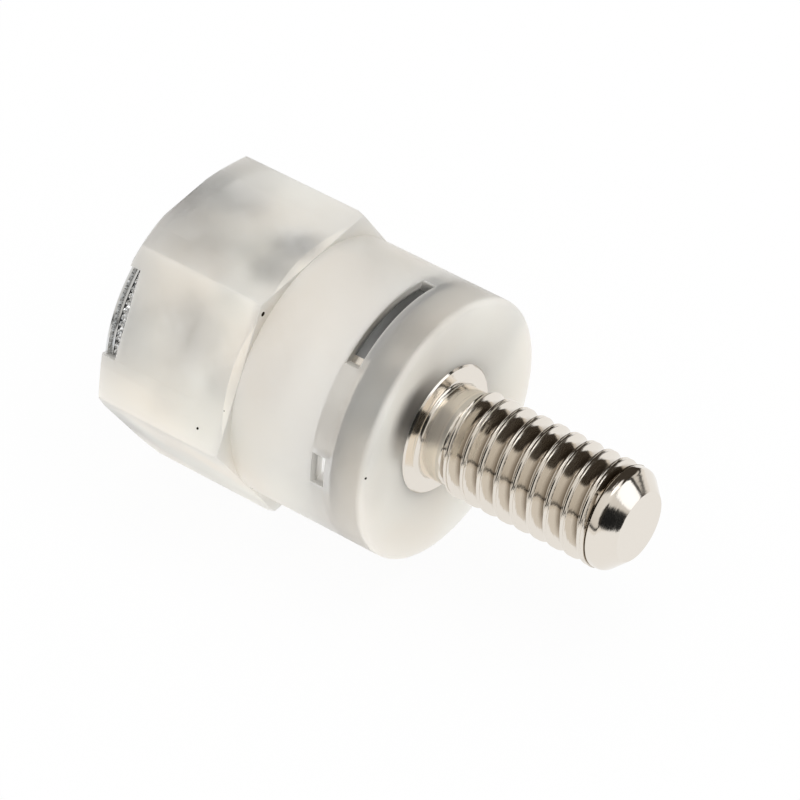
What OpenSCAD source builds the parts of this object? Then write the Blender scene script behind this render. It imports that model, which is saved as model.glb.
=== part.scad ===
// Insulating spacer: a nylon body moulded over two nickel plated inserts.
// The rear half of the body is a hexagon and the front half is round. A flanged
// stud comes out of the front face, and a threaded bush opens at the back.
// The axis lies along X, the stud points to +X, and the part lies on one flat
// of the hexagon at Z = 0. Each piece is drawn along its own Z and laid down at the end.

/* [Nylon body] */
// Width across the flats of the hexagon
hex_width = 10; // [9:0.1:13]
// Length of the hexagonal part
hex_length = 5.25; // [4.5:0.05:12]
// Length of the round lip behind the hexagon
lip_length = 0.45; // [0.3:0.05:1]
// Length of the round part in front of the hexagon
round_length = 5.7; // [4:0.1:15]
// How far the round part lies inside the flats
round_step = 0.08; // [0.07:0.01:0.3]
// Rounding of the front edge and of the back edge
edge_radius = 0.2; // [0.05:0.05:0.25]
// Length of the shallow bevel that ends each flat in front
bevel_length = 0.3; // [0.1:0.05:1]
// Depth of that bevel at the front end of the hexagon
bevel_depth = 0.06; // [0.02:0.01:0.06]

/* [Stud] */
// Nominal diameter of the thread
stud_thread = 4; // [3:0.5:4]
// Pitch of both threads
thread_pitch = 0.7; // [0.5:0.05:0.8]
// How far the crests lie under the nominal diameter
crest_allowance = 0.12; // [0.02:0.02:0.2]
// Length of the stud beyond the nylon
stud_length = 8; // [5:0.5:20]
// Length of the plain neck
neck_length = 1.1; // [0.6:0.1:2]
// Diameter of the plain neck
neck_width = 3.5; // [2.6:0.1:3.6]
// Diameter of the flat end
tip_width = 2.62; // [1.6:0.1:3]
// Diameter of the collar that passes through the front wall
collar_width = 4.9; // [4.5:0.1:6]
// How far the collar stands out of the front face
collar_proud = 0.1; // [0.1:0.05:0.5]
// Chamfer round the face of the collar
collar_chamfer = 0.08; // [0.02:0.02:0.1]
// Radius of the hollow between collar and neck
neck_fillet = 0.1; // [0.05:0.05:0.4]
// Thickness of the stud's flange
stud_flange = 0.9; // [0.7:0.1:1.5]

/* [Threaded bush] */
// Diameter of the hole, which is tapped right through the bush
bush_hole = 3.3; // [2.5:0.1:4]
// Width of the countersink at the mouth
mouth_width = 4.3; // [4.1:0.1:6]
// Length of the bush
bush_length = 4.9; // [4.9:0.1:5.6]
// Diameter of the knurled barrel
barrel_width = 6.2; // [5.4:0.1:7]
// Depth of the groove and of the throat behind the flange
barrel_groove = 0.45; // [0.2:0.05:0.6]
// Width of the groove between the two knurled bands
groove_width = 1.1; // [0.6:0.1:1.6]
// Length of the throat behind the flange
throat_length = 0.35; // [0.2:0.05:0.6]
// Thickness of the bush's flange
bush_flange = 0.75; // [0.6:0.05:1.1]
// Length of the plain rim of the flange, behind its knurl
plain_rim = 0.4; // [0.2:0.05:0.5]
// Chamfer at the back edge of the flange
rim_chamfer = 0.1; // [0.05:0.01:0.15]
// Depth of the knurl
knurl_depth = 0.15; // [0.05:0.05:0.2]
// How far the knurled rim lies inside the plain rim
knurl_step = 0.05; // [0.02:0.01:0.1]
// Ribs round each knurled band of the barrel
barrel_ribs = 24; // [16:2:36]
// Ribs round the flange
flange_ribs = 40; // [24:2:60]

/* [Moulding] */
// Nylon in front of the stud's flange
front_wall = 1.5; // [1:0.1:2.5]
// Nylon round the stud's flange
stud_cover = 0.35; // [0.25:0.05:0.6]
// Nylon round the bush's flange
bush_cover = 0.3; // [0.2:0.05:0.6]
// Width of the slots over the stud's flange, along the axis
slot_width = 0.56; // [0.3:0.02:0.64]
// Distance of the long slot's wall from the middle of the mould
long_slot_wall = 2.17; // [1.2:0.01:3]
// Height of the long slot's floor over the parting plane
long_slot_floor = 0.9; // [0.3:0.1:2]
// Distance of the short slot's near wall from the middle of the mould
short_slot_wall = 1.11; // [0.3:0.01:2]
// Width of the short slot across the axis
short_slot_width = 1.14; // [0.6:0.02:1.6]
// Width of the window over the bush's flange, on the long slot's side
rear_window_near = 2.03; // [1:0.01:2.5]
// Width of the window over the bush's flange, on the short slot's side
rear_window_far = 1.38; // [0.8:0.01:2.5]
// Length of the window over the bush's flange
rear_window_length = 0.7; // [0.5:0.02:0.9]

/* [Hidden] */
$fn = 96;
flats = 6;
// The mould opens across the flat that faces up and to the side.
pull_angle = 4 * 360 / flats;
// The cuts pass the surface that they start from by this much.
cut_over = 1;
round_width = hex_width - 2 * round_step;
body_length = lip_length + hex_length + round_length;
total_length = body_length + stud_length;
hex_end = lip_length + hex_length;
stud_flange_width = round_width - 2 * stud_cover;
stud_flange_front = body_length - front_wall;
stud_flange_back = stud_flange_front - stud_flange;
slot_back = stud_flange_back + (stud_flange - slot_width) / 2;
stud_crest = stud_thread - crest_allowance;
bush_flange_width = hex_width - 2 * bush_cover;
band_length = (bush_length - bush_flange - throat_length - groove_width) / 2;
first_band = bush_flange + throat_length;
second_band = first_band + band_length + groove_width;
// Flank angle, depths and lands of a metric thread
flank = 30;
stud_thread_depth = 0.6134 * thread_pitch;
stud_land = thread_pitch / 8;
bush_thread_depth = 0.5413 * thread_pitch;
bush_land = thread_pitch / 4;

// A ring of pointed ribs, as a straight knurl leaves them.
module knurled_band(width, ribs, length) {
    half_rib = 180 / ribs;
    linear_extrude(length)
        polygon([for (i = [0 : 2 * ribs - 1])
            let (r = width / 2 - (i % 2) * knurl_depth)
            [r * cos(i * half_rib), r * sin(i * half_rib)]]);
}

// Lays a piece down along X, with one flat of the hexagon on Z = 0.
module lay_down() {
    translate([-total_length / 2, 0, hex_width / 2])
        rotate([0, 90, 0])
            children();
}

// A disc with one rounded edge, on the side away from Z = 0.
module rounded_disc(width, length) {
    rotate_extrude() {
        square([width / 2 - edge_radius, length]);
        square([width / 2, length - edge_radius]);
        translate([width / 2 - edge_radius, length - edge_radius])
            intersection() {
                circle(edge_radius);
                square(edge_radius);
            }
    }
}

// The hexagonal part. A shallow bevel ends each flat where the round part begins.
module hexagon() {
    flat = hex_width / 2;
    slope = bevel_depth / bevel_length;
    difference() {
        translate([0, 0, lip_length])
            cylinder(h = hex_length, d = hex_width / cos(180 / flats), $fn = flats);
        for (side = [0 : flats - 1])
            rotate(side * 360 / flats + 180 / flats)
                rotate([90, 0, 0])
                    linear_extrude(hex_width, center = true)
                        polygon([
                            [flat, hex_end - bevel_length],
                            [flat + cut_over, hex_end - bevel_length],
                            [flat + cut_over, hex_end + cut_over],
                            [flat - bevel_depth - cut_over * slope, hex_end + cut_over]
                        ]);
    }
}

// Everything inside the outer surface of the nylon, before the inserts and slots.
module body_form() {
    translate([0, 0, lip_length])
        rounded_disc(round_width, hex_length + round_length);
    rotate(180 / flats)
        hexagon();
    translate([0, 0, lip_length])
        mirror([0, 0, 1])
            rounded_disc(hex_width, lip_length);
}

// A thread in section, cut as rings from a wall. Side is 1 where the wall faces outwards.
module thread_grooves(start, end, wall, depth, land, side) {
    mouth = (thread_pitch - land) / 2;
    root = mouth - depth * tan(flank);
    for (i = [0 : floor((end - start) / thread_pitch) - 1])
        translate([wall, start + (i + 0.5) * thread_pitch])
            polygon([
                [side * cut_over, -mouth],
                [0, -mouth],
                [-side * depth, -root],
                [-side * depth, root],
                [0, mouth],
                [side * cut_over, mouth]
            ]);
}

// The stud in section: flange, collar, hollow, neck and thread.
module stud_section() {
    neck = neck_width / 2;
    crest = stud_crest / 2;
    collar = collar_width / 2;
    collar_face = body_length + collar_proud;
    thread_start = body_length + neck_length;
    thread_full = thread_start + max(0, crest - neck);
    thread_end = total_length - (crest - tip_width / 2);
    translate([0, stud_flange_back])
        square([stud_flange_width / 2, stud_flange]);
    polygon([
        [0, stud_flange_back],
        [collar, stud_flange_back],
        [collar, collar_face - collar_chamfer],
        [collar - collar_chamfer, collar_face],
        [0, collar_face]
    ]);
    difference() {
        translate([0, collar_face])
            square([neck + neck_fillet, neck_fillet]);
        translate([neck + neck_fillet, collar_face + neck_fillet])
            circle(neck_fillet);
    }
    difference() {
        polygon([
            [0, body_length],
            [neck, body_length],
            [neck, thread_start],
            [crest, thread_full],
            [crest, thread_end],
            [tip_width / 2, total_length],
            [0, total_length]
        ]);
        thread_grooves(thread_full, thread_end, crest, stud_thread_depth, stud_land, 1);
    }
}

// The bush without its hole. The same form is the pocket that the nylon leaves.
module bush_form() {
    flange = bush_flange_width / 2;
    throat = barrel_width / 2 - barrel_groove;
    rotate_extrude()
        polygon([
            [0, 0],
            [flange - rim_chamfer, 0],
            [flange, rim_chamfer],
            [flange, plain_rim],
            [throat, plain_rim],
            [throat, bush_length],
            [0, bush_length]
        ]);
    translate([0, 0, plain_rim])
        knurled_band(bush_flange_width - 2 * knurl_step, flange_ribs, bush_flange - plain_rim);
    for (start = [first_band, second_band])
        translate([0, 0, start])
            knurled_band(barrel_width, barrel_ribs, band_length);
}

// The tapped hole through the bush, with its countersunk mouth. Nylon closes its far end.
module bush_bore() {
    mouth = mouth_width / 2;
    wall = bush_hole / 2;
    rotate_extrude() {
        polygon([
            [0, -cut_over],
            [mouth + cut_over, -cut_over],
            [wall, mouth - wall],
            [wall, bush_length + cut_over],
            [0, bush_length + cut_over]
        ]);
        thread_grooves(mouth - wall, bush_length, wall, bush_thread_depth, bush_land, -1);
    }
}

// What the steel of one half of the mould leaves open over the two flanges.
module mould_openings() {
    reach = hex_width;
    translate([long_slot_floor, -reach, slot_back])
        cube([reach, reach - long_slot_wall, slot_width]);
    translate([0, short_slot_wall, slot_back])
        cube([reach, short_slot_width, slot_width]);
    translate([0, -rear_window_near, -cut_over])
        cube([reach, rear_window_near + rear_window_far, rear_window_length + cut_over]);
}

module nylon_body() {
    color([0.86, 0.85, 0.79])
        lay_down()
            difference() {
                body_form();
                rotate_extrude()
                    stud_section();
                bush_form();
                for (half = [0, 180])
                    rotate(pull_angle + half)
                        mould_openings();
            }
}

module stud_insert() {
    color([0.78, 0.75, 0.70])
        lay_down()
            rotate_extrude()
                stud_section();
}

module threaded_insert() {
    color([0.74, 0.72, 0.68])
        lay_down()
            difference() {
                bush_form();
                bush_bore();
            }
}

nylon_body();
stud_insert();
threaded_insert();
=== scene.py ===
# A hexagonal nylon spacer with a nickel plated stud in front and a threaded bush at the back.
import math

import bmesh
import bpy
from mathutils import Matrix, Vector


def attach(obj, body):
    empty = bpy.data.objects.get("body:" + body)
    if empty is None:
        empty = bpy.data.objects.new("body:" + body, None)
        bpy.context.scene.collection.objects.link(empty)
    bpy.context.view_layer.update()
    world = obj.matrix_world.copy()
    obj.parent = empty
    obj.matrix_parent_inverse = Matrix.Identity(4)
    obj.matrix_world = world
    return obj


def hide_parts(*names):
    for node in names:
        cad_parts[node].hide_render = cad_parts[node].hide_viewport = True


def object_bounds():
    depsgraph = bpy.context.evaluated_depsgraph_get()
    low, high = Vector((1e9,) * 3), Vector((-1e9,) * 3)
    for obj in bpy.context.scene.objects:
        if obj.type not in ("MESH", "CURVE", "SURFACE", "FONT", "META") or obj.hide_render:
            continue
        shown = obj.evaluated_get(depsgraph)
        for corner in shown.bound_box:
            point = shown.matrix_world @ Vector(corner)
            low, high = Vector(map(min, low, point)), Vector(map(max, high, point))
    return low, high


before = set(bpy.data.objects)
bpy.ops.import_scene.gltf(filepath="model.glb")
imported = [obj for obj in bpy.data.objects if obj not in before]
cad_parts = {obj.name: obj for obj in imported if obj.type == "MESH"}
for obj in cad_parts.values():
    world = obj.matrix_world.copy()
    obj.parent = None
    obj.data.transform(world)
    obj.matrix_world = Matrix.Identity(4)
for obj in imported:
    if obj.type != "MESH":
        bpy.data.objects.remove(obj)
cad_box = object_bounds()
scene = bpy.context.scene
scene.view_settings.view_transform = "Standard"
MM = 0.001


# Camera. A long lens looks down on the front and right of the part, and the
# camera hangs a little to one side, as a hand-held product photograph does.
AIM = Vector((-0.544, 0.144, 5.118)) * MM
DISTANCE = 173.078 * MM
AZIMUTH, ELEVATION, ROLL = 38.9033, 43.5447, -2.2524

camera_data = bpy.data.cameras.new("camera")
camera_data.sensor_width = 36
camera_data.lens = 225
camera_data.clip_start = 0.01
camera_data.clip_end = 10
camera = bpy.data.objects.new("camera", camera_data)
scene.collection.objects.link(camera)
turn = (
    Matrix.Rotation(math.radians(AZIMUTH), 4, "Z")
    @ Matrix.Rotation(math.radians(90 - ELEVATION), 4, "X")
    @ Matrix.Rotation(math.radians(ROLL), 4, "Z")
)
camera.matrix_world = Matrix.Translation(AIM) @ turn @ Matrix.Translation((0, 0, DISTANCE))
scene.camera = camera


# Studio. The part lies on a white sheet under a large soft lamp, with dark
# surroundings near the horizon that show as dark bands in the bright metal.
DARK_LINE = (0.05, 0.048, 0.045, 1)
# From straight below at 0 to straight above at 1.
HORIZON = (
    (0.515, (1, 0.97, 0.93, 1)),
    (0.53, DARK_LINE),
    (0.565, DARK_LINE),
    (0.59, (0.8, 0.768, 0.72, 1)),
    (1, (1, 0.98, 0.95, 1)),
)
ROOM_LEVEL = 0.9
DARK = (0.05, 0.04, 0.03, 1)
# Azimuth and elevation of each thing round the part, the angles of its soft edge, and its colour.
ROOM = (
    (130, 34, 42, 50, DARK),
    (88, 46, 28, 34, DARK),
    (31, 26, 23, 24, (0.02, 0.018, 0.015, 1)),
    (-44, 28, 22, 25, (0.03, 0.027, 0.022, 1)),
    (-18, 8, 18, 20, (0.01, 0.01, 0.01, 1)),
    (35, -2, 15, 20, DARK),
    (27, 25, 19, 20, (1.6, 1.62, 1.65, 1)),
)
LAMP_WIDTH = 90 * MM
LAMP_POWER = 0.03
LAMP_PLACE = Vector((20, 30, 150)) * MM
SHEET_R = 60 * MM
SHEET_DROP = 0.005 * MM
WHITE = (1, 1, 1, 1)
PAPER = (0.9, 0.9, 0.9, 1)
# The sheet's own glow keeps it white. It throws a little less of it onto the part.
GLOW_SEEN, GLOW_THROWN = 0.93, 0.85


def node(tree, kind, inputs=(), **settings):
    """Adds a node, sets its settings and the values of its inputs."""
    made = tree.nodes.new(kind)
    for name, value in settings.items():
        setattr(made, name, value)
    for name, value in dict(inputs).items():
        if isinstance(value, bpy.types.NodeSocket):
            tree.links.new(value, made.inputs[name])
        else:
            made.inputs[name].default_value = value
    return made


def spread(tree, value, start, end, first=0, last=1, smooth=False):
    """Turns a value between start and end into one between first and last."""
    limits = {"From Min": start, "From Max": end, "To Min": first, "To Max": last}
    curve = "SMOOTHSTEP" if smooth else "LINEAR"
    return node(tree, "ShaderNodeMapRange", {"Value": value, **limits}, interpolation_type=curve).outputs[0]


def mixed(tree, share, first, second):
    """Goes from the first colour to the second as the share rises from 0 to 1."""
    inputs = {"Factor": share, "A": first, "B": second}
    return node(tree, "ShaderNodeMix", inputs, data_type="RGBA").outputs["Result"]


def ramp(tree, place, stops):
    """The colour at a place from 0 to 1 on a row of stops, each a place and a colour."""
    made = node(tree, "ShaderNodeValToRGB", {"Fac": place})
    marks = made.color_ramp.elements
    for mark, (at, colour) in zip(marks, (stops[0], stops[-1])):
        mark.position = at
        mark.color = colour
    for at, colour in stops[1:-1]:
        marks.new(at).color = colour
    return made.outputs["Color"]


def how_far(tree, place, way):
    """How far a place lies in the direction of way, which has a length of 1."""
    return node(tree, "ShaderNodeVectorMath", {0: place, 1: way}, operation="DOT_PRODUCT").outputs["Value"]


scene.cycles.max_bounces = 32
scene.cycles.glossy_bounces = 16
scene.cycles.diffuse_bounces = 8
scene.cycles.transmission_bounces = 24
world = bpy.data.worlds.new("studio")
world.use_nodes = True
scene.world = world
tree = world.node_tree
tree.nodes.clear()
direction = node(tree, "ShaderNodeTexCoord").outputs["Generated"]
height = node(tree, "ShaderNodeSeparateXYZ", {"Vector": direction}).outputs["Z"]
surroundings = ramp(tree, spread(tree, height, -1, 1), HORIZON)
for azimuth, elevation, inner, outer, colour in ROOM:
    azimuth = math.radians(azimuth)
    elevation = math.radians(elevation)
    level = math.cos(elevation)
    middle = (level * math.cos(azimuth), level * math.sin(azimuth), math.sin(elevation))
    near = how_far(tree, direction, middle)
    share = spread(tree, near, math.cos(math.radians(outer)), math.cos(math.radians(inner)), smooth=True)
    surroundings = mixed(tree, share, surroundings, colour)
seen = node(tree, "ShaderNodeBackground", {"Color": WHITE, "Strength": 1})
around = node(tree, "ShaderNodeBackground", {"Color": surroundings, "Strength": ROOM_LEVEL})
mirrored = node(tree, "ShaderNodeLightPath").outputs["Is Glossy Ray"]
blend = node(tree, "ShaderNodeMixShader", {0: mirrored, 1: seen.outputs[0], 2: around.outputs[0]})
node(tree, "ShaderNodeOutputWorld", {"Surface": blend.outputs[0]})

lamp_data = bpy.data.lights.new("softbox", "AREA")
lamp_data.shape = "SQUARE"
lamp_data.size = LAMP_WIDTH
lamp_data.energy = LAMP_POWER
lamp = bpy.data.objects.new("softbox", lamp_data)
scene.collection.objects.link(lamp)
aimed = (LAMP_PLACE - AIM).to_track_quat("Z", "Y").to_matrix().to_4x4()
lamp.matrix_world = Matrix.Translation(LAMP_PLACE) @ aimed

sheet_bm = bmesh.new()
bmesh.ops.create_circle(sheet_bm, cap_ends=True, segments=96, radius=SHEET_R)
bmesh.ops.translate(sheet_bm, verts=sheet_bm.verts, vec=(0, 0, -SHEET_DROP))
sheet_mesh = bpy.data.meshes.new("sheet")
sheet_bm.to_mesh(sheet_mesh)
sheet_bm.free()
sheet = bpy.data.objects.new("sheet", sheet_mesh)
scene.collection.objects.link(sheet)
paper = bpy.data.materials.new("white_paper")
paper.use_nodes = True
tree = paper.node_tree
tree.nodes.clear()
lit = node(tree, "ShaderNodeBsdfDiffuse", {"Color": PAPER})
glow = node(tree, "ShaderNodeEmission", {"Color": WHITE, "Strength": 1})
thrown = node(tree, "ShaderNodeLightPath").outputs["Is Diffuse Ray"]
share = spread(tree, thrown, 0, 1, GLOW_SEEN, GLOW_THROWN)
blend = node(tree, "ShaderNodeMixShader", {0: share, 1: lit.outputs[0], 2: glow.outputs[0]})
node(tree, "ShaderNodeOutputMaterial", {"Surface": blend.outputs[0]})
sheet_mesh.materials.append(paper)


# Threaded bush. It is turned from bar, with a knurled flange at the back and two
# knurled bands on its barrel that key it into the nylon, then tapped and nickel plated.
BUSH_LENGTH = 4.9
BUSH_FLANGE = 0.75
BUSH_FLANGE_R = 4.9
RIM_CHAMFER = 0.06
PLAIN_RIM = 0.13
RIM_GROOVE = (0.19, 0.28)
RIM_GROOVE_DEPTH = 0.16
KNURL_STEP = 0.05
FLANGE_RIBS, FLANGE_SLANT = 110, 3.4
THROAT_R = 2.65
BARREL_R = 3.1
BANDS = ((1.1, 2.45), (3.55, 4.9))
BAND_RIBS, BAND_SLANT = 40, 1.5
KNURL_DEPTH = 0.15
KNURL_EDGE = 0.05
MOUTH_R = 2.15
HOLE_R = 1.65
HOLE_ROOT_R = 2.03
PITCH = 0.7
# Steps round a turned form and round one turn of a thread.
TURN_STEPS = 240
THREAD_STEPS = 96
# How far a cutting tool reaches past the surface that it starts from.
PAST = 0.5
# The plate's colour, and the painted shade that darkens it in narrow recesses.
BUSH_PLATE = (0.72, 0.73, 0.735, 1)
BUSH_RECESS_SHADE = (0.28, 0.285, 0.29, 1)

# Pieces are drawn upright in mm, from the back end at 0, and then laid down along X.
BACK_X = cad_box[0][0] / MM
AXIS_Z = (cad_box[0][2] + cad_box[1][2]) / 2 / MM
placed = Matrix.Translation((BACK_X, 0, AXIS_Z)) @ Matrix.Rotation(math.pi / 2, 4, "Y")
lay_down = Matrix.Scale(MM, 4) @ placed


def swept(outline, angle, steps, rise=0.0):
    """Spins an outline of (distance from the back, radius) points round the axis, rising as it goes."""
    bm = bmesh.new()
    verts = [bm.verts.new((radius, 0, along)) for along, radius in outline]
    edges = [bm.edges.new(pair) for pair in zip(verts, verts[1:])]
    bmesh.ops.spin(
        bm,
        geom=verts + edges,
        cent=(0, 0, 0),
        axis=(0, 0, 1),
        dvec=(0, 0, rise / steps),
        angle=angle,
        steps=steps,
    )
    return bm


def repeated(bm, move, times):
    """Joins copies to the mesh, each moved on from the last, doubling them each time."""
    for _ in range(times):
        copied = bmesh.ops.duplicate(bm, geom=bm.verts[:] + bm.edges[:] + bm.faces[:])
        verts = [e for e in copied["geom"] if isinstance(e, bmesh.types.BMVert)]
        bmesh.ops.transform(bm, matrix=move, verts=verts)
        move = move @ move
    bmesh.ops.remove_doubles(bm, verts=bm.verts, dist=1e-4)
    return bm


def turned(outline, steps=TURN_STEPS):
    """A closed form turned on a lathe, from an eighth of a turn."""
    bm = swept(outline, math.pi / 4, steps // 8)
    return repeated(bm, Matrix.Rotation(math.pi / 4, 4, "Z"), 3)


def part(name, bm):
    """Makes an object of a mesh, with its faces turned outwards."""
    bmesh.ops.recalc_face_normals(bm, faces=bm.faces)
    mesh = bpy.data.meshes.new(name)
    bm.to_mesh(mesh)
    bm.free()
    made = bpy.data.objects.new(name, mesh)
    scene.collection.objects.link(made)
    return made


def combine(piece, tool, operation="DIFFERENCE"):
    """Cuts one solid with another, or joins them, and removes the tool."""
    boolean = piece.modifiers.new("combine", "BOOLEAN")
    boolean.solver = "MANIFOLD"
    boolean.operation = operation
    boolean.object = tool
    result = bpy.data.meshes.new_from_object(piece.evaluated_get(bpy.context.evaluated_depsgraph_get()))
    piece.modifiers.clear()
    piece.data = result
    bpy.data.objects.remove(tool)


def finished(piece, replaced, material, sharp=30):
    """Lays a piece down in the frame and gives it its finish."""
    mesh = piece.data
    mesh.transform(lay_down)
    mesh.materials.clear()
    mesh.materials.append(material)
    mesh.shade_smooth()
    mesh.set_sharp_from_angle(angle=math.radians(sharp))
    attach(piece, "root")
    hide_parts(replaced)


def wave(x):
    """A triangle wave from 0 to 1."""
    return abs(2 * (x % 1) - 1)


def moved_out(vert, scale):
    """Moves a point away from the axis, or towards it."""
    vert.co.x *= scale
    vert.co.y *= scale


def knurl(bm, start, end, radius, ribs, slant):
    """Presses crossed grooves into the part of the surface between start and end."""
    for vert in bm.verts:
        reach = math.hypot(vert.co.x, vert.co.y)
        if start + 1e-4 < vert.co.z < end - 1e-4 and abs(reach - radius) < 1e-3:
            turns = math.atan2(vert.co.y, vert.co.x) / (2 * math.pi) * ribs
            lift = min(wave(turns + slant * vert.co.z), wave(turns - slant * vert.co.z))
            moved_out(vert, 1 - KNURL_DEPTH * (1 - lift) / radius)


def band(start, end, radius, spacing=0.05):
    """Closely spaced points along a knurled surface, with a small chamfer at each end."""
    yield start, radius - KNURL_DEPTH
    length = end - start - 2 * KNURL_EDGE
    count = round(length / spacing)
    for i in range(count + 1):
        yield start + KNURL_EDGE + length * i / count, radius
    yield end, radius - KNURL_DEPTH


def bush_form(shrink):
    """The outside of the bush without its hole. The nylon's pocket for it is open at the back."""
    flange = BUSH_FLANGE_R - shrink
    flange_end = BUSH_FLANGE - shrink
    throat = THROAT_R - shrink
    barrel = BARREL_R - shrink
    groove_start, groove_end = RIM_GROOVE
    back = [(-PAST, 0), (-PAST, flange - RIM_CHAMFER)] if shrink else [(0, 0)]
    outline = [
        *back,
        (0, flange - RIM_CHAMFER),
        (RIM_CHAMFER, flange),
        (PLAIN_RIM, flange),
        (groove_start, flange - RIM_GROOVE_DEPTH),
        (groove_end, flange - RIM_GROOVE_DEPTH),
        *band(groove_end, flange_end, flange - KNURL_STEP),
        (flange_end, throat),
    ]
    for start, end in BANDS:
        first, last = start + shrink, end - shrink
        outline += [(first, throat), *band(first, last, barrel), (last, throat)]
    outline.append((BUSH_LENGTH - shrink, 0))
    bm = turned(outline, 2 * TURN_STEPS)
    knurl(bm, groove_end, flange_end, flange - KNURL_STEP, FLANGE_RIBS, FLANGE_SLANT)
    for start, end in BANDS:
        knurl(bm, start, end, barrel, BAND_RIBS, BAND_SLANT)
    return bm


def thread_solid(root, crest, start, end):
    """A solid rod with a rolled thread. The crest has the fine seam that rolling leaves."""
    foot = root + 0.03
    flank = crest - 0.025 - foot
    # From the middle of a root, up its flank, to the seam in the middle of the crest.
    half = (
        (0, root),
        (0.02, root + 0.004),
        (0.045, foot),
        (0.115, foot + flank / 3),
        (0.185, foot + flank * 2 / 3),
        (0.25, foot + flank),
        (0.262, crest - 0.006),
        (0.276, crest),
        (0.292, crest - 0.004),
        (0.322, crest - 0.032),
        (PITCH / 2, crest - 0.036),
    )
    profile = half + tuple((PITCH - along, radius) for along, radius in reversed(half[:-1]))
    first = start - 2 * PITCH
    bm = swept([(first + along, radius) for along, radius in profile], 2 * math.pi, THREAD_STEPS, PITCH)
    repeated(bm, Matrix.Translation((0, 0, PITCH)), 4)
    for at, side in ((start, -1), (end, 1)):
        cut = bmesh.ops.bisect_plane(
            bm,
            geom=bm.verts[:] + bm.edges[:] + bm.faces[:],
            dist=1e-5,
            plane_co=(0, 0, at),
            plane_no=(0, 0, side),
            clear_outer=True,
        )
        rim = [e for e in cut["geom_cut"] if isinstance(e, bmesh.types.BMEdge)]
        bmesh.ops.edgenet_fill(bm, edges=rim)
    return bm


def millimetres(tree):
    """The place of a point in mm."""
    place = node(tree, "ShaderNodeTexCoord").outputs["Object"]
    return node(tree, "ShaderNodeMapping", {"Vector": place, "Scale": (1 / MM, 1 / MM, 1 / MM)}).outputs[0]


def nickel_plate(name, plate, recess_shade):
    """Bright plate with faint marks of the turning tool, and a painted shade that darkens it in its narrow
    recesses.
    """
    material = bpy.data.materials.new(name)
    material.use_nodes = True
    tree = material.node_tree
    tree.nodes.clear()
    place = millimetres(tree)
    cloud = node(tree, "ShaderNodeTexNoise", {"Vector": place, "Scale": 1.3, "Detail": 4})
    along_tool = node(tree, "ShaderNodeMapping", {"Vector": place, "Scale": (18, 1.2, 1.2)}).outputs[0]
    marks = node(tree, "ShaderNodeTexNoise", {"Vector": along_tool, "Scale": 1, "Detail": 5})
    inputs = {"Height": marks.outputs["Fac"], "Strength": 0.6, "Distance": 0.01 * MM}
    relief = node(tree, "ShaderNodeBump", inputs)
    # Ambient occlusion finds the narrow recesses, where the plate gets a painted shade.
    openness = node(tree, "ShaderNodeAmbientOcclusion", {"Distance": 0.3 * MM}, samples=8, only_local=True)
    inputs = {
        "Base Color": mixed(tree, spread(tree, openness.outputs["AO"], 0.3, 0.75), recess_shade, plate),
        "Metallic": 1.0,
        "Roughness": spread(tree, cloud.outputs["Fac"], 0.3, 0.7, 0.08, 0.16),
        "Normal": relief.outputs[0],
    }
    metal = node(tree, "ShaderNodeBsdfPrincipled", inputs)
    node(tree, "ShaderNodeOutputMaterial", {"Surface": metal.outputs[0]})
    return material, metal


bush_nickel, _ = nickel_plate("bush_nickel", BUSH_PLATE, BUSH_RECESS_SHADE)
bush = part("bush", bush_form(0))
mouth_depth = MOUTH_R - HOLE_R
mouth = [(-PAST, 0), (-PAST, MOUTH_R + PAST), (mouth_depth, HOLE_R), (mouth_depth, 0)]
combine(bush, part("mouth", turned(mouth)))
tap = part("tap", thread_solid(HOLE_R, HOLE_ROOT_R, -PAST, BUSH_LENGTH + PAST))
combine(bush, tap)
finished(bush, "threaded_insert", bush_nickel)


# Stud. One turned and rolled piece: a flange that the nylon grips, a collar that
# comes through the front face, a plain neck, and an M4 thread with a chamfered end.
FLANGE_BACK = 9.0
FLANGE_FRONT = 9.9
FLANGE_R = 4.57
FLANGE_EDGE = 0.04
COLLAR_R = 2.45
COLLAR_FACE = 11.28
COLLAR_EDGE = 0.08
NECK_R = 1.75
FILLET = 0.18
THREAD_START = 12.0
# Where the thread comes up out of the neck, and where it runs into the plain rim of the tip.
RUN_IN = (0.25, 0.2)
RUN_OUT = (1.07, 0.15)
STUD_END = 19.4
CREST_R = 1.94
ROOT_R = 1.51
RIM_R = 1.9
RIM_LENGTH = 0.93
RIM_ROUND = 0.06
CHAMFER_ROUND = 0.3
TIP_R = 1.31
TIP_EDGE = 0.02
# The plate's colour, and the painted shade that darkens it in narrow recesses.
STUD_PLATE = (0.78, 0.73, 0.66, 1)
STUD_RECESS_SHADE = (0.27, 0.22, 0.165, 1)
# Painted shade: a darker, duller colour on the flange.
DULL_SHADE_PLATE = (0.28, 0.285, 0.285, 1)
NECK_PLATE = (0.94, 0.865, 0.76, 1)
# Painted glint: a near-white colour on the flange under the short windows.
PAINTED_GLINT_PLATE = (0.97, 0.96, 0.94, 1)
# Painted dark reflection on the side of the collar under the nylon.
SHADED_PLATE = (0.04, 0.034, 0.028, 1)
# The mould opens across one flat. Each half of it leaves a long and a short window
# over this flange, by their distances from the middle of the mould.
PULL = math.radians(240)
PULL_WAY = (0, math.sin(PULL), -math.cos(PULL))
LONG_WAY = (0, -math.cos(PULL), -math.sin(PULL))
LONG_WINDOW = 2.17
SHORT_WINDOW = (1.11, 2.25)
# The side of the collar that faces up and forward gets a painted dark reflection of the room, and so does
# the front of the flange.
SHADED_WAY = (0, -0.62, 0.79)


def rounded(along, radius, size, start, end, points=5):
    """Points on a part of a turn of a small rounding, with its middle at (along, radius)."""
    for i in range(points + 1):
        angle = math.radians(start + (end - start) * i / points)
        yield along + size * math.cos(angle), radius + size * math.sin(angle)


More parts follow.
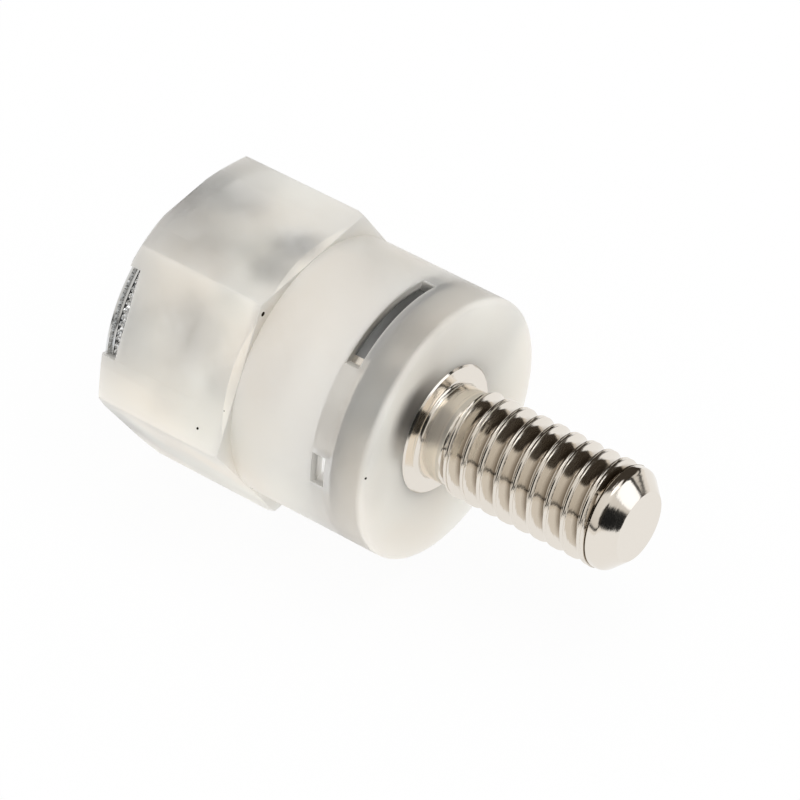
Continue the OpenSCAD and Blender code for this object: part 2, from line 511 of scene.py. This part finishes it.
def stud_head(shrink):
    """Flange, collar and neck. The nylon's pocket has the same form."""
    flange = FLANGE_R - shrink
    collar = COLLAR_R - shrink
    return turned(
        [
            (FLANGE_BACK + shrink, 0),
            (FLANGE_BACK + shrink, flange - FLANGE_EDGE),
            (FLANGE_BACK + FLANGE_EDGE, flange),
            (FLANGE_FRONT - FLANGE_EDGE, flange),
            (FLANGE_FRONT - shrink, flange - FLANGE_EDGE),
            (FLANGE_FRONT - shrink, collar),
            (COLLAR_FACE - COLLAR_EDGE, collar),
            (COLLAR_FACE, collar - COLLAR_EDGE),
            *rounded(COLLAR_FACE + FILLET, NECK_R + FILLET, FILLET, 180, 270),
            (THREAD_START, NECK_R),
            (THREAD_START, 0),
        ]
    )


def eased(x):
    """Goes gently from 0 to 1 and stays there."""
    x = min(1, max(0, x))
    return x * x * (3 - 2 * x)


def stud_blank():
    """The blank that the thread is rolled on, with its rim, its chamfer and its flat tip."""
    behind = THREAD_START - 1
    past_crest = CREST_R + 0.26
    rim_start = STUD_END - RIM_LENGTH
    chamfer_start = STUD_END - RIM_R + TIP_R - CHAMFER_ROUND * math.tan(math.pi / 8)
    return turned(
        [
            (behind, 0),
            (behind, past_crest),
            (rim_start - 0.04, past_crest),
            *rounded(rim_start + RIM_ROUND, RIM_R - RIM_ROUND, RIM_ROUND, 180, 90),
            *rounded(chamfer_start, RIM_R - CHAMFER_ROUND, CHAMFER_ROUND, 90, 45),
            (STUD_END - TIP_EDGE, TIP_R + TIP_EDGE),
            (STUD_END, TIP_R - TIP_EDGE / 2),
            (STUD_END, 0),
        ]
    )


def number(tree, operation, *terms):
    """A number worked out from others."""
    return node(tree, "ShaderNodeMath", dict(enumerate(terms)), operation=operation).outputs[0]


def between(tree, value, start, end):
    """1 where a value lies between start and end, and 0 elsewhere."""
    return number(tree, "COMPARE", value, (start + end) / 2, (end - start) / 2)


def round_axis(tree):
    """The distance of a point from the back end, and its offset from the axis."""
    place = millimetres(tree)
    x = node(tree, "ShaderNodeSeparateXYZ", {"Vector": place}).outputs["X"]
    inputs = {"Vector": place, "Location": (0, 0, -AXIS_Z), "Scale": (0, 1, 1)}
    offset = node(tree, "ShaderNodeMapping", inputs).outputs[0]
    return number(tree, "SUBTRACT", x, BACK_X), offset


def towards_long(tree, offset):
    """How far a point lies towards the long window of its own half of the mould."""
    half = number(tree, "SIGN", how_far(tree, offset, PULL_WAY))
    return number(tree, "MULTIPLY", how_far(tree, offset, LONG_WAY), half)


def laid_over(metal, share, colour):
    """Lays another colour over the metal's own, by its share."""
    tree = metal.id_data
    base = metal.inputs["Base Color"]
    tree.links.new(mixed(tree, share, base.links[0].from_socket, colour), base)


stud_nickel, metal = nickel_plate("stud_nickel", STUD_PLATE, STUD_RECESS_SHADE)
tree = stud_nickel.node_tree
along, offset = round_axis(tree)
facing = how_far(tree, offset, SHADED_WAY)
across = towards_long(tree, offset)
# The flange gets a painted shade, darker and duller, on its front face where it faces up and forward and
# under the long windows, and a painted glint under the short ones.
flange_side = between(tree, along, FLANGE_BACK + 0.03, FLANGE_FRONT - 0.03)
under_long = number(tree, "GREATER_THAN", across, LONG_WINDOW + 0.23)
dull_shaded_side = number(tree, "MULTIPLY", flange_side, under_long)
flange_face = between(tree, along, FLANGE_FRONT - 0.025, FLANGE_FRONT + 0.025)
dull_shaded_face = number(tree, "MULTIPLY", flange_face, spread(tree, facing, 0.5, 4))
dull_and_shaded = number(tree, "MAXIMUM", dull_shaded_side, dull_shaded_face)
laid_over(metal, dull_and_shaded, DULL_SHADE_PLATE)
laid_over(metal, between(tree, along, COLLAR_FACE + FILLET, THREAD_START + 0.1), NECK_PLATE)
# Painted glint on the flange under the short windows.
under_short = between(tree, across, -SHORT_WINDOW[1] - 0.13, -SHORT_WINDOW[0] + 0.13)
laid_over(metal, number(tree, "MULTIPLY", flange_side, under_short), PAINTED_GLINT_PLATE)
# Painted dark reflection on the side of the collar that faces up and forward.
collar_side = between(tree, along, FLANGE_FRONT + 0.04, COLLAR_FACE - 0.06)
shaded = spread(tree, facing, 2.1, 2.45, smooth=True)
laid_over(metal, number(tree, "MULTIPLY", collar_side, shaded), SHADED_PLATE)
gloss = metal.inputs["Roughness"]
tree.links.new(spread(tree, dull_and_shaded, 0, 1, gloss.links[0].from_socket, 0.42), gloss)

stud = part("stud", stud_head(0))
rod = thread_solid(ROOT_R, CREST_R, THREAD_START - 0.2, STUD_END + 0.2)
for vert in rod.verts:
    reach = math.hypot(vert.co.x, vert.co.y)
    if reach > 0.1:
        rise = eased((vert.co.z - THREAD_START - RUN_IN[0]) / RUN_IN[1])
        fall = eased((vert.co.z - STUD_END + RUN_OUT[0]) / RUN_OUT[1])
        wanted = (NECK_R - 0.002) * (1 - rise) + reach * rise
        wanted += (RIM_R + 0.05 - wanted) * fall
        moved_out(vert, wanted / reach)
rod = part("rod", rod)
combine(rod, part("blank", stud_blank()), "INTERSECT")
combine(stud, rod, "UNION")
finished(stud, "stud_insert", stud_nickel)


# Nylon body. Natural nylon moulded round the two inserts: hexagonal behind, round in
# front, with the openings that the mould's steel left over the two flanges.
FLAT_R = 5.0
CORNER = 0.15
HEX_END = 5.7
BEVEL = 0.3
BEVEL_DEPTH = 0.06
ROUND_R = 4.92
FRONT = 11.4
EDGE = 0.2
# Distance from the back and radius of points on the cone that takes off the corners there.
CONE = ((-0.01, 4.98), (0.04, 5.04), (0.5, 5.8))
# Depth and radius of points on the dip in the front face, round the collar.
DIP = ((0.18, 2.45), (0.15, 2.6), (0.08, 2.9), (0.02, 3.3), (-0.02, 3.8))
WINDOW_WIDTH = 0.56
LONG_FLOOR = 0.9
REAR_WINDOW = (-2.03, 1.38)
REAR_WINDOW_END = 0.7
# A distance from the axis that is clear of all the nylon.
OUTSIDE = 10
# The nylon's pockets are smaller than the inserts by this, so that no gap shows.
OVERLAP = 0.01
# Added to the radius of the rings that are pushed out to the hexagon's sides.
MARK = 100
SECTOR = math.radians(60)
WHITER, WARMER = (0.84, 0.81, 0.73, 1), (0.83, 0.77, 0.68, 1)
# The clear nylon's colour, and its darker colour on the long windows' walls, a painted shade.
CLEAR, CLEAR_SHADED_IN_SLOTS = (0.96, 0.97, 0.985, 1), (0.5, 0.49, 0.46, 1)
BURNT = (0.02, 0.015, 0.01, 1)
HAZE, HAZE_DENSITY = (1, 0.95, 0.87, 1), 60
NYLON_IOR = 1.53
# Share of milk in the nylon, by the distance from the back end. It is thin in front
# of the long windows and thick in the front face.
MILK = (
    (0, 0.6),
    (HEX_END - 0.04, 0.6),
    (HEX_END, 0.55),
    (9.72, 0.55),
    (9.76, 0.36),
    (11.1, 0.36),
    (11.3, 0.8),
    (FRONT, 0.8),
)
# Clearer spots: the middle, where each starts and ends, and the share of its milk that is left.
CLEARER = (
    ((-7.9, 1.1, 10), 0.3, 1.7, 0.52),
    ((-7.4, -1.5, 10), 0.3, 1.6, 0.82),
    ((-4.75, -1.3, 10), 0.2, 1.2, 0.5),
    ((-4.8, 0.2, 10), 0.2, 1.3, 0.3),
    ((-6.4, -3.9, 8.3), 0.4, 1.9, 0.6),
    ((-4.6, -4.5, 7.3), 0.2, 1.2, 0.75),
    ((1.7, -1.5, 6.8), 1.1, 2.1, 0.07),
)
# Middle and radius of the burnt specks that most natural nylon has.
SPECKS = (
    ((-4, -2.8, 9.51), 0.09),
    ((-5.02, -5.43, 5.6), 0.05),
    ((-4.21, -4.92, 6.48), 0.03),
    ((1.72, -4.63, 6.38), 0.07),
    ((-3.85, -4.2, 2.35), 0.07),
)


def hex_reach(angle, flat):
    """Distance from the axis to the side of a hexagon with rounded corners."""
    off_flat = abs((angle + SECTOR / 2) % SECTOR - SECTOR / 2)
    middle = (flat - CORNER) / math.cos(SECTOR / 2)
    if math.tan(off_flat) * flat < middle * math.sin(SECTOR / 2):
        return flat / math.cos(off_flat)
    off_corner = SECTOR / 2 - off_flat
    return middle * math.cos(off_corner) + math.sqrt(CORNER**2 - (middle * math.sin(off_corner)) ** 2)


def body_form():
    """The outside of the nylon. The rings of the hexagon are marked, then pushed out to its sides."""
    bevelled = FLAT_R - BEVEL_DEPTH
    hexagon = (
        (0, FLAT_R - EDGE),
        (0.06, FLAT_R - 0.06),
        (EDGE, FLAT_R),
        (HEX_END - BEVEL, FLAT_R),
        (HEX_END - 0.04, bevelled),
        (HEX_END - 0.01, bevelled - 0.015),
        (HEX_END, bevelled - 0.045),
    )
    outline = [
        (0, 0),
        *((along, MARK + flat) for along, flat in hexagon),
        (HEX_END, ROUND_R),
        *rounded(FRONT - EDGE, ROUND_R - EDGE, EDGE, 90, 0),
        (FRONT, 0),
    ]
    bm = turned(outline)
    for vert in bm.verts:
        reach = math.hypot(vert.co.x, vert.co.y)
        if reach < 1e-3:
            continue
        angle = math.atan2(vert.co.y, vert.co.x)
        side = round(angle / SECTOR) * SECTOR
        # Points gather towards the hexagon's corners.
        angle = side + math.sin((angle - side) / (SECTOR / 2) * math.pi / 2) * SECTOR / 2
        if reach > MARK / 2:
            reach = hex_reach(angle, reach - MARK)
            if vert.co.z > HEX_END / 2:
                reach = max(bevelled, reach)
        vert.co.x = reach * math.cos(angle)
        vert.co.y = reach * math.sin(angle)
    bmesh.ops.remove_doubles(bm, verts=bm.verts, dist=1e-4)
    return bm


def cone():
    """What the shallow cone at the back takes off."""
    start = (-PAST, CONE[0][1])
    return turned([start, *CONE, (CONE[-1][0], OUTSIDE), (-PAST, OUTSIDE), start])


def dip():
    """What the shallow dip round the collar takes off."""
    points = [(FRONT - depth, radius) for depth, radius in DIP]
    past = FRONT + PAST
    return turned([(points[0][0], 0), *points, (past, points[-1][1]), (past, 0)])


def opening(half, across, height, along):
    """A block of the mould's steel, from its lowest to its highest corner."""
    low = Vector((height, across[0], along[0]))
    high = Vector((OUTSIDE, across[1], along[1]))
    size = Matrix.Diagonal((*(high - low), 1))
    bm = bmesh.new()
    bmesh.ops.create_cube(bm, size=1, matrix=Matrix.Translation((low + high) / 2) @ size)
    bmesh.ops.transform(bm, matrix=Matrix.Rotation(PULL + half, 4, "Z"), verts=bm.verts)
    return part("opening", bm)


def grey(value):
    """A colour without a hue."""
    return value, value, value, 1


def distance(tree, place, point):
    """How far a place is from a point."""
    return node(tree, "ShaderNodeVectorMath", {0: place, 1: point}, operation="DISTANCE").outputs["Value"]


nylon = bpy.data.materials.new("natural_nylon")
nylon.use_nodes = True
tree = nylon.node_tree
tree.nodes.clear()
place = millimetres(tree)
along, offset = round_axis(tree)
reach = node(tree, "ShaderNodeVectorMath", {0: offset}, operation="LENGTH").outputs["Value"]
skin = node(tree, "ShaderNodeTexNoise", {"Vector": place, "Scale": 6, "Detail": 4})
inputs = {"Height": skin.outputs["Fac"], "Strength": 0.12, "Distance": 0.02 * MM}
relief = node(tree, "ShaderNodeBump", inputs)
drift = node(tree, "ShaderNodeTexNoise", {"Vector": place, "Scale": 0.22, "Detail": 1})
tint = mixed(tree, spread(tree, drift.outputs["Fac"], 0.4, 0.6), WHITER, WARMER)

# Inside the long windows the nylon's walls are clear, with a painted shade that darkens them. Elsewhere
# wall is 1.
at_windows = between(tree, along, FLANGE_BACK + 0.05, FLANGE_FRONT - 0.05)
at_windows = number(tree, "MULTIPLY", at_windows, towards_long(tree, offset))
at_windows = number(tree, "GREATER_THAN", at_windows, LONG_WINDOW + 0.03)
on_skin = spread(tree, reach, ROUND_R - 0.08, ROUND_R - 0.02)
wall = spread(tree, at_windows, 0, 1, 1, on_skin)
clear = node(
    tree,
    "ShaderNodeBsdfPrincipled",
    {
        "Base Color": mixed(tree, wall, CLEAR_SHADED_IN_SLOTS, CLEAR),
        "Roughness": 0.45,
        "IOR": NYLON_IOR,
        "Transmission Weight": 1.0,
        "Normal": relief.outputs[0],
    },
)
cloudy = node(
    tree,
    "ShaderNodeBsdfPrincipled",
    {
        "Base Color": tint,
        "Roughness": 0.42,
        "IOR": NYLON_IOR,
        "Subsurface Weight": 0.6,
        "Subsurface Radius": (3.2, 3.1, 3.0),
        "Subsurface Scale": MM,
        "Normal": relief.outputs[0],
    },
)

lengthwise = spread(tree, along, 0, FRONT)
milk = ramp(tree, lengthwise, [(at / FRONT, grey(value)) for at, value in MILK])
patches = node(tree, "ShaderNodeTexNoise", {"Vector": place, "Scale": 0.4, "Detail": 1})
milk = number(tree, "MULTIPLY", milk, spread(tree, patches.outputs["Fac"], 0.35, 0.65, 0.85, 1.1))
# Each flat ends at the step in a fine clearer, darker line and a paler band, deepest in the flat's middle:
# a painted shadow along the step and a painted highlight on its edge.
into_band = number(tree, "MULTIPLY_ADD", reach, -0.9, along)
line = spread(tree, into_band, 0.78, 0.822, 1, 0.862)
shadow_and_highlight = number(tree, "MULTIPLY", line, spread(tree, into_band, 0.822, 0.847, 1, 1.7))
on_flat = number(tree, "LESS_THAN", along, HEX_END - 0.02)
milk = number(tree, "MULTIPLY", milk, spread(tree, on_flat, 0, 1, 1, shadow_and_highlight))
# The underside and the flat that the mould opened across are milkier and so paler: painted light from below
# and onto that flat.
upward = node(tree, "ShaderNodeSeparateXYZ", {"Vector": place}).outputs["Z"]
milk = number(tree, "MULTIPLY", milk, spread(tree, upward, 4, 7, 1.5, 1))
pull_flat_painted_light = spread(tree, how_far(tree, offset, PULL_WAY), FLAT_R - 0.06, FLAT_R, 1, 1.35)
milk = number(tree, "MULTIPLY", milk, pull_flat_painted_light)
for point, inner, outer, least in CLEARER:
    left = spread(tree, distance(tree, place, point), inner, outer, least, 1, smooth=True)
    milk = number(tree, "MULTIPLY", milk, left)

inside = node(tree, "ShaderNodeNewGeometry").outputs["Backfacing"]
share = number(tree, "SUBTRACT", 1, inside)
for factor in (milk, wall):
    share = number(tree, "MULTIPLY", share, factor)
surface = node(tree, "ShaderNodeMixShader", {0: share, 1: clear.outputs[0], 2: cloudy.outputs[0]})
burnt = node(tree, "ShaderNodeBsdfDiffuse", {"Color": BURNT})
for point, size in SPECKS:
    speck = number(tree, "LESS_THAN", distance(tree, place, point), size)
    surface = node(tree, "ShaderNodeMixShader", {0: speck, 1: surface.outputs[0], 2: burnt.outputs[0]})
haze = node(tree, "ShaderNodeVolumeAbsorption", {"Color": HAZE, "Density": HAZE_DENSITY})
node(tree, "ShaderNodeOutputMaterial", {"Surface": surface.outputs[0], "Volume": haze.outputs[0]})

body = part("body", body_form())
combine(body, part("bush_pocket", bush_form(OVERLAP)))
combine(body, part("stud_pocket", stud_head(OVERLAP)))
combine(body, part("cone", cone()))
combine(body, part("dip", dip()))
window_middle = (FLANGE_BACK + FLANGE_FRONT) / 2
window = (window_middle - WINDOW_WIDTH / 2, window_middle + WINDOW_WIDTH / 2)
for half in (0, math.pi):
    combine(body, opening(half, (-OUTSIDE, -LONG_WINDOW), LONG_FLOOR, window))
    combine(body, opening(half, SHORT_WINDOW, 0, window))
    combine(body, opening(half, REAR_WINDOW, 0, (-PAST, REAR_WINDOW_END)))
finished(body, "nylon_body", nylon)
